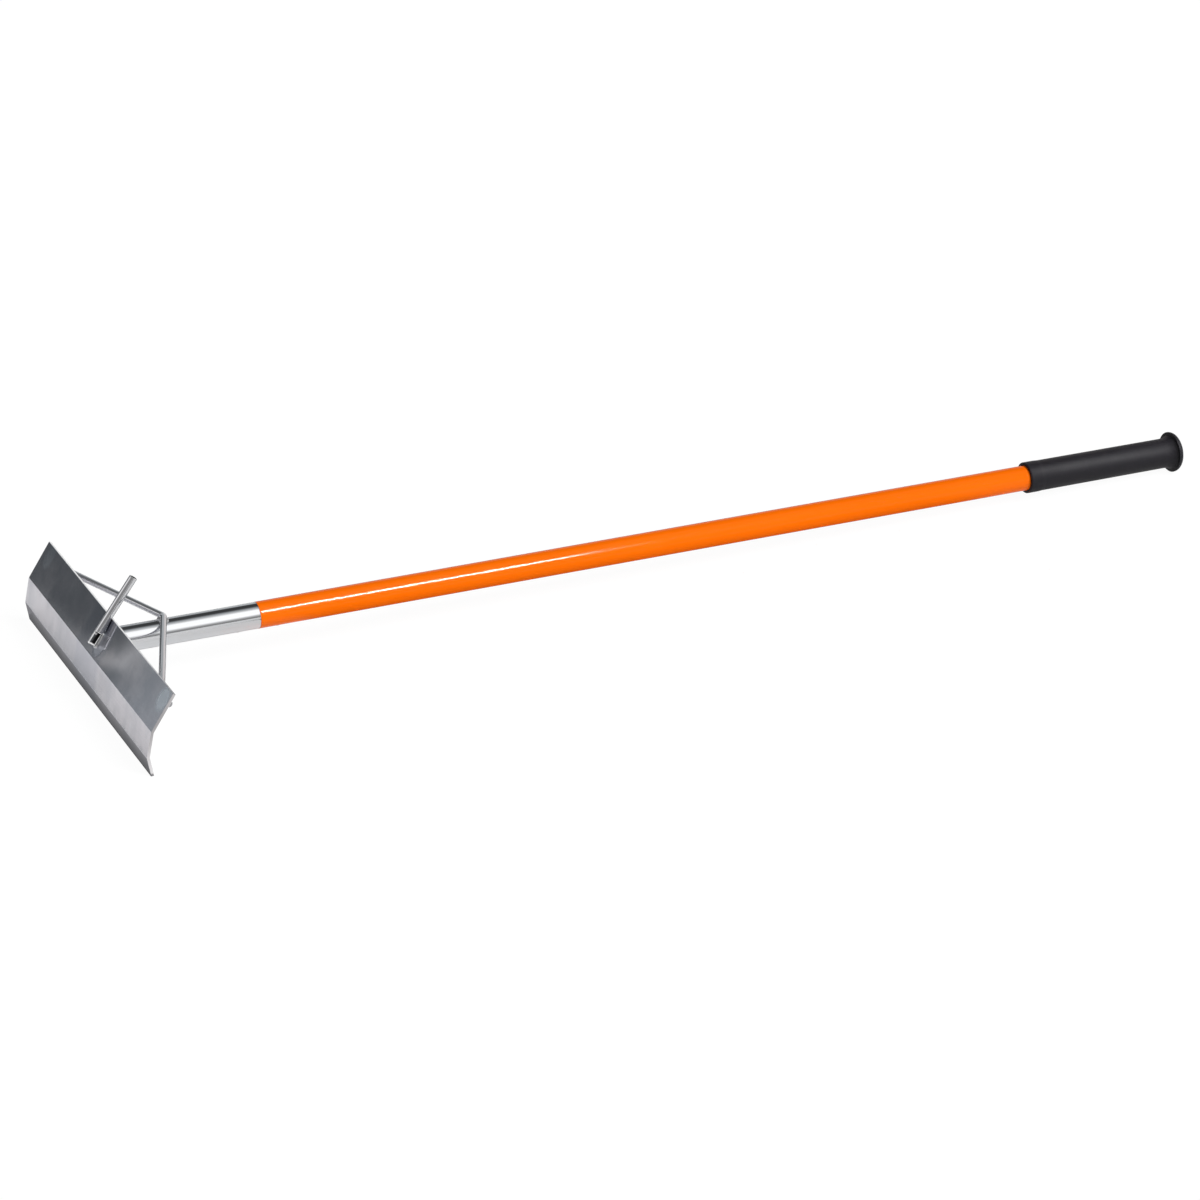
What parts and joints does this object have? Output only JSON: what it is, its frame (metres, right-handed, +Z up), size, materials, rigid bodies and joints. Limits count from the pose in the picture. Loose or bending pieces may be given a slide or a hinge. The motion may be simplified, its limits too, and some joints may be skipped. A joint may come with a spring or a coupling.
{
  "type": "concrete rake",
  "caption": "Long-handled concrete rake: bent metal blade, braced socket tube, mesh hook, glossy orange handle and black flared grip.",
  "frame": {"origin": "middle of the blade's ground edge, on the floor that the rake lies on", "axes": "+X along the blade to its right end, seen from in front; +Y from the blade towards the grip; +Z up"},
  "size_m": [0.5, 1.6642, 0.164],
  "materials": {
    "plate": "satin",
    "bare_tube": "polished",
    "weld": "satin",
    "orange_sleeve": "gloss",
    "rivet": "satin",
    "steel": "satin",
    "black_grip": "matte"
  },
  "bodies": {
    "root": {"blade": "plate", "socket_tube": "bare_tube", "socket_weld": "weld", "brace_rod": "bare_tube", "brace_apex_weld": "weld", "brace_foot_weld_left": "weld", "brace_foot_weld_right": "weld", "hook_tube": "bare_tube", "hook_weld": "weld", "handle_tube": "bare_tube", "handle_sleeve": "orange_sleeve", "joint_spigot": "bare_tube", "joint_rivets": "rivet", "rivet_mandrels": "steel", "grip": "black_grip"}
  },
  "joints": []
}
